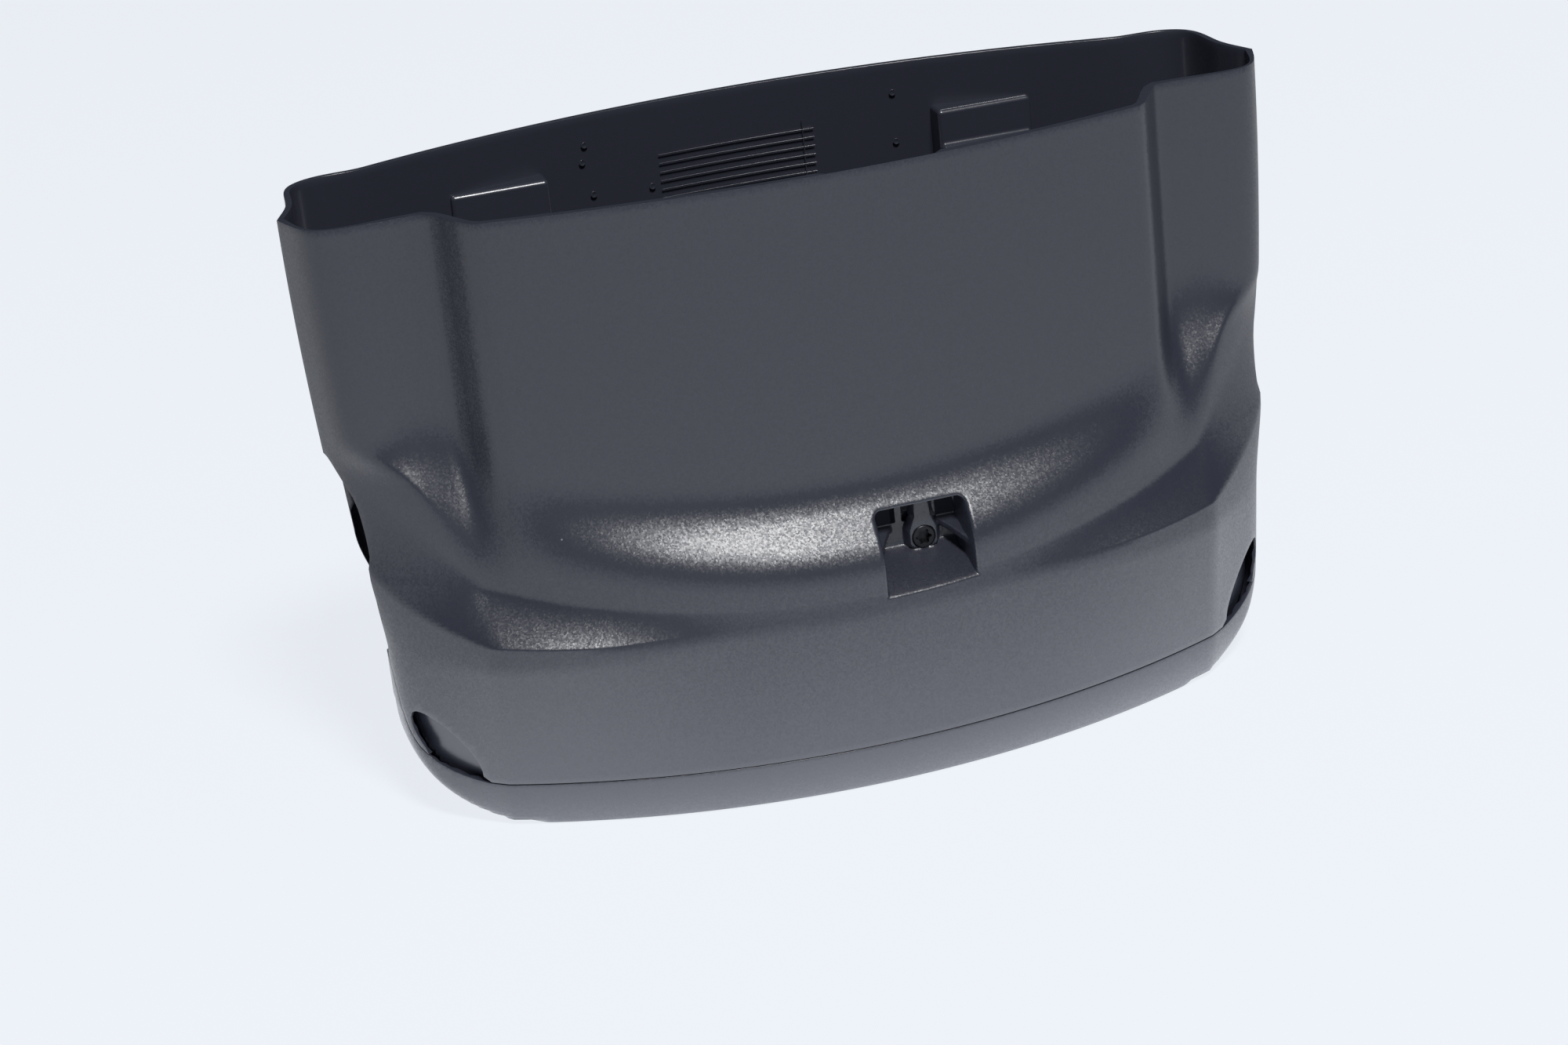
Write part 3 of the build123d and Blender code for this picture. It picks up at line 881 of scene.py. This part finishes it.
def makeShells():
    grid = bodyGrid()
    points = grid.reshape(-1, 3)
    side = frontSide(points)
    opening = openSides(points)
    sunk = sinkRecess(grid.copy())
    front = np.minimum.reduce([side, opening, openSlots(points), openWindows(sunk.reshape(-1, 3))])
    rear = np.minimum.reduce([-side - parting["gap"], opening, openMounts(points)])
    shells = []
    for name, keep, shape in (("frontShell", front, sunk), ("rearShell", rear, grid)):
        shellPoints, faces = shellSkin(shape, keep.reshape(grid.shape[:2]))
        if name == "rearShell":
            # the floor is one face round the lowest points
            low = [i for i, p in enumerate(shellPoints) if p[2] < 1e-6]
            order = sorted(low, key=lambda i: np.arctan2(shellPoints[i][1], shellPoints[i][0]))
            faces.append(order[::-1])
        thing = meshObject(name, shellPoints, faces, (outsidePlastic, insidePlastic))
        thicken(thing, body["wall"])
        roundEdges(thing, mesh["edgeRound"])
        applyModifiers(thing)
        shells.append(thing)
        print(name, len(thing.data.polygons), "faces")
    return shells


frontShell, rearShell = makeShells()


def backY(x, z):
    # outer surface of the back wall
    return body["rearDepth"] - body["rearLean"] * z / body["height"] - bow(abs(x), body["rearRadius"])


def mountPrism(name, middle, inset, deep, materials):
    # stepped box on the back wall, all sides moved in by inset, its back end deep past the wall's surface
    half = mounts["half"] - inset
    low = mounts["height"] - mounts["half"] + inset
    shelf = mounts["height"] + mounts["half"] - inset
    top = shelf + mounts["stepRise"]
    floor, step = mounts["floor"] + inset, mounts["step"] + inset
    # None stands for the back wall
    profile = [(None, low), (floor, low), (floor, shelf), (step, shelf), (step, top), (None, top)]
    points, faces = [], []
    for x in (middle - half, middle + half):
        points += [(x, backY(x, z) + deep if y is None else y, z) for y, z in profile]
    count = len(profile)
    for i in range(count):
        j = (i + 1) % count
        faces.append((i, j, j + count, i + count))
    # the step makes the ends concave, so each is two quads
    faces += [(0, 3, 2, 1), (0, 5, 4, 3)]
    faces += [tuple(count + k for k in face) for face in ((0, 1, 2, 3), (0, 3, 4, 5))]
    return meshObject(name, points, faces, materials)


def cutAway(thing, tool):
    cut = thing.modifiers.new("cut", "BOOLEAN")
    cut.operation = "DIFFERENCE"
    cut.solver = "EXACT"
    cut.object = tool
    applyModifiers(thing)
    bpy.data.objects.remove(tool)


def behindWall(middle):
    # everything behind the back wall's outer surface, round one screw pocket
    reach, steps, far = mounts["half"] + mounts["trimMargin"], mounts["trimSteps"], mounts["trimEnd"]
    low = mounts["height"] - reach
    high = mounts["height"] + reach + mounts["stepRise"]
    points, faces = [], []
    for x in np.linspace(middle - reach, middle + reach, steps + 1):
        points += [(x, backY(x, z) - mounts["skin"], z) for z in (low, high)]
        points += [(x, far, high), (x, far, low)]
    for i in range(0, 4 * steps, 4):
        faces += [(i + a, i + b, i + b + 4, i + a + 4) for a, b in ((0, 1), (1, 2), (2, 3), (3, 0))]
    faces += [(3, 2, 1, 0), tuple(4 * steps + k for k in range(4))]
    return meshObject("behind", points, faces, ())


def mountHole(name, middle):
    # cylinder for the screw hole through the floor of a screw pocket
    steps, radius = mounts["holeSteps"], mounts["hole"]
    points, faces = [], []
    for y in (mounts["floor"] - 2, mounts["floor"] + 2 * body["wall"]):
        for i in range(steps):
            angle = 2 * pi * i / steps
            points.append((middle + radius * cos(angle), y, mounts["height"] + radius * sin(angle)))
    for i in range(steps):
        j = (i + 1) % steps
        faces.append((i, j, j + steps, i + steps))
    faces += [tuple(range(steps))[::-1], tuple(range(steps, 2 * steps))]
    return meshObject(name, points, faces, ())


def recalculate(thing):
    work = bmesh.new()
    work.from_mesh(thing.data)
    bmesh.ops.recalc_face_normals(work, faces=work.faces)
    work.to_mesh(thing.data)
    work.free()


def finishEdges(thing, width, segments=3):
    roundEdges(thing, width, 35, segments)
    thing.modifiers.new("shading", "WEIGHTED_NORMAL").keep_sharp = True
    applyModifiers(thing)


def makeMounts():
    boxes = []
    for name, side in (("leftScrewBox", -1), ("rightScrewBox", 1)):
        middle = side * mounts["spacing"] / 2
        box = mountPrism(name, middle, 0, mounts["boxDepth"], (insidePlastic,))
        hollow = mountPrism("hollow", middle, body["wall"], mounts["hollowDepth"], ())
        hole = mountHole("hole", middle)
        behind = behindWall(middle)
        for piece in (box, hollow, hole, behind):
            recalculate(piece)
        finishEdges(box, mounts["round"], 6)
        cutAway(box, hollow)
        cutAway(box, hole)
        cutAway(box, behind)
        finishEdges(box, mounts["rim"], 2)
        boxes.append(box)
    return boxes


post = {
    "front": -34.15,
    "back": -26.0,
    "half": 4.5,
    "foot": 1.2,
    "top": 62.5,
    "rib": 1.8,
    "ribRun": 12.0,
    "ribTop": 44.0,
    "ribSunk": 2.0,
    "edgeRound": 0.4,
}


def makePost():
    # post and rib behind the screw recess
    middle, back, foot = lug["centre"], post["back"], post["foot"]
    left, right = middle - post["half"], middle + post["half"]
    corners = ((left, post["front"]), (right, post["front"]), (right, back), (left, back))
    points = [(x, y, z) for z in (foot, post["top"]) for x, y in corners]
    faces = [(3, 2, 1, 0), (4, 5, 6, 7), (0, 1, 5, 4), (1, 2, 6, 5), (2, 3, 7, 6), (3, 0, 4, 7)]
    start, rib, sunk = len(points), post["rib"] / 2, back - post["ribSunk"]
    profile = ((sunk, foot), (back + post["ribRun"], foot), (back, post["ribTop"]), (sunk, post["ribTop"]))
    for x in (middle - rib, middle + rib):
        points += [(x, y, z) for y, z in profile]
    ribFaces = ((0, 1, 2, 3), (7, 6, 5, 4), (0, 4, 5, 1), (1, 5, 6, 2), (2, 6, 7, 3), (3, 7, 4, 0))
    faces += [tuple(start + i for i in face) for face in ribFaces]
    thing = meshObject("screwPost", points, faces, (insidePlastic,))
    recalculate(thing)
    finishEdges(thing, post["edgeRound"])
    return thing


dishes = {
    "inset": 2.5,
    "margin": 2.2,  # they reach this far past the slots
    "foot": 9.5,
    "back": 5.0,
    "wall": 1.2,
}


def makeDishes():
    # the rear shell stands up behind the two slots
    inner = bodyGrid(dishes["inset"])
    points = inner.reshape(-1, 3)
    keep = np.minimum(dishes["margin"] - openSlots(points), points[:, 2] - dishes["foot"])
    keep = np.where(points[:, 1] < dishes["back"], keep, -1).reshape(inner.shape[:2])
    dishPoints, faces = shellSkin(inner, keep)
    thing = meshObject("slotDishes", dishPoints, faces, (insidePlastic, insidePlastic))
    thicken(thing, dishes["wall"])
    applyModifiers(thing)
    return thing


wallMarks = {
    "rows": 7,
    "pitch": 2.2,
    "lowest": 121.3,
    "sweep": 7.8,  # degrees of the back wall's curve
    "lineRadius": 0.15,
    "arcSteps": 24,
    "lineSides": 10,
    "uprightAt": 17.0,
    "uprightFoot": 121.0,
    "uprightTop": 137.0,
    "markRadius": 0.8,
    "markRaise": 0.12,
    "markSteps": 28,
    # shares of the radius and the raise
    "markRings": ((1.0, -0.2), (1.0, 0.6), (0.88, 1.0), (0.78, 0.45), (0.0, 0.4)),
    "places": ((-38, 140.7), (-39, 136.5), (-37, 128), (-22, 127), (40, 140.5), (40, 128)),
}


def addSocket(tree, name, kind):
    return tree.interface.new_socket(name, in_out="INPUT", socket_type=kind).identifier


def lineTree():
    # level raised lines on the curved back wall and one upright line across them
    tree = bpy.data.node_groups.new("raised lines", "GeometryNodeTree")
    tree.interface.new_socket("Geometry", in_out="INPUT", socket_type="NodeSocketGeometry")
    tree.interface.new_socket("Geometry", in_out="OUTPUT", socket_type="NodeSocketGeometry")
    names = {"Rows": addSocket(tree, "Rows", "NodeSocketInt")}
    for name in ("Line radius", "Wall radius", "Sweep"):
        names[name] = addSocket(tree, name, "NodeSocketFloat")
    for name in ("First point", "Row step", "Upright foot", "Upright top"):
        names[name] = addSocket(tree, name, "NodeSocketVector")
    names["Material"] = addSocket(tree, "Material", "NodeSocketMaterial")
    given = addNode(tree, "NodeGroupInput").outputs
    half = addNode(tree, "ShaderNodeMath", {0: given["Sweep"], 1: 0.5}, operation="MULTIPLY").outputs[0]
    start = addNode(tree, "ShaderNodeMath", {0: pi / 2, 1: half}, operation="SUBTRACT").outputs[0]
    arc = {
        "Radius": given["Wall radius"],
        "Start Angle": start,
        "Sweep Angle": given["Sweep"],
        "Resolution": wallMarks["arcSteps"],
    }
    curve = addNode(tree, "GeometryNodeCurveArc", arc, mode="RADIUS").outputs["Curve"]
    section = {"Radius": given["Line radius"], "Resolution": wallMarks["lineSides"]}
    profile = addNode(tree, "GeometryNodeCurvePrimitiveCircle", section).outputs["Curve"]
    sweep = {"Curve": curve, "Profile Curve": profile, "Fill Caps": True}
    line = addNode(tree, "GeometryNodeCurveToMesh", sweep).outputs["Mesh"]
    column = {"Count": given["Rows"], "Start Location": given["First point"], "Offset": given["Row step"]}
    rows = addNode(tree, "GeometryNodeMeshLine", column)
    level = addNode(tree, "GeometryNodeInstanceOnPoints", {"Points": rows.outputs["Mesh"], "Instance": line})
    ends = {"Start": given["Upright foot"], "End": given["Upright top"]}
    rise = addNode(tree, "GeometryNodeCurvePrimitiveLine", ends).outputs["Curve"]
    across = {"Curve": rise, "Profile Curve": profile, "Fill Caps": True}
    upright = addNode(tree, "GeometryNodeCurveToMesh", across).outputs["Mesh"]
    both = tree.nodes.new("GeometryNodeJoinGeometry")
    tree.links.new(level.outputs["Instances"], both.inputs[0])
    tree.links.new(upright, both.inputs[0])
    real = addNode(tree, "GeometryNodeRealizeInstances", {"Geometry": both.outputs[0]}).outputs[0]
    painted = addNode(tree, "GeometryNodeSetMaterial", {"Geometry": real, "Material": given["Material"]})
    tree.links.new(painted.outputs[0], addNode(tree, "NodeGroupOutput").inputs[0])
    return tree, names


def innerBack(x, z):
    return backY(x, z) - body["wall"]


def makeWallLines():
    tree, names = lineTree()
    thing = meshObject("wallLines", [(0, 0, 0)], [], ())
    radius = body["rearRadius"]
    low, pitch, x = wallMarks["lowest"], wallMarks["pitch"], wallMarks["uprightAt"]
    lean = -body["rearLean"] * pitch / body["height"]
    foot, top = [(x, innerBack(x, z), z) for z in (wallMarks["uprightFoot"], wallMarks["uprightTop"])]
    values = {
        "Rows": wallMarks["rows"],
        "Line radius": wallMarks["lineRadius"] / 1000,
        "Wall radius": radius / 1000,
        "Sweep": radians(wallMarks["sweep"]),
        "First point": (0, (innerBack(0, low) - radius) / 1000, low / 1000),
        "Row step": (0, lean / 1000, pitch / 1000),
        "Upright foot": [v / 1000 for v in foot],
        "Upright top": [v / 1000 for v in top],
        "Material": insidePlastic,
    }
    lines = thing.modifiers.new("lines", "NODES")
    lines.node_group = tree
    for name, value in values.items():
        lines[names[name]] = value
    applyModifiers(thing)
    return thing


def makeEjectorMarks():
    # low round marks on the inner side of the back wall
    points, faces = [], []
    steps, rings = wallMarks["markSteps"], wallMarks["markRings"]
    for x, z in wallMarks["places"]:
        start = len(points)
        for radius, lift in rings:
            for i in range(steps):
                angle = 2 * pi * i / steps
                px = x + wallMarks["markRadius"] * radius * cos(angle)
                pz = z + wallMarks["markRadius"] * radius * sin(angle)
                points.append((px, innerBack(px, pz) - wallMarks["markRaise"] * lift, pz))
        for ring in range(len(rings) - 1):
            for i in range(steps):
                j = (i + 1) % steps
                low = start + ring * steps
                faces.append((low + i, low + j, low + steps + j, low + steps + i))
    thing = meshObject("ejectorMarks", points, faces, (insidePlastic,))
    recalculate(thing)
    return thing


extras = makeMounts() + [makePost(), makeDishes(), makeWallLines(), makeEjectorMarks()]
print("Screw boxes, post, dishes and wall marks made")
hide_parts("front_shell")
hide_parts("rear_shell")
for thing in extras:
    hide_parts("rear_shell")
for thing in [frontShell, rearShell] + extras:
    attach(thing, "root")
for slotHolder in nodes["pocket_screw"].material_slots:
    slotHolder.material = screwMaterial()
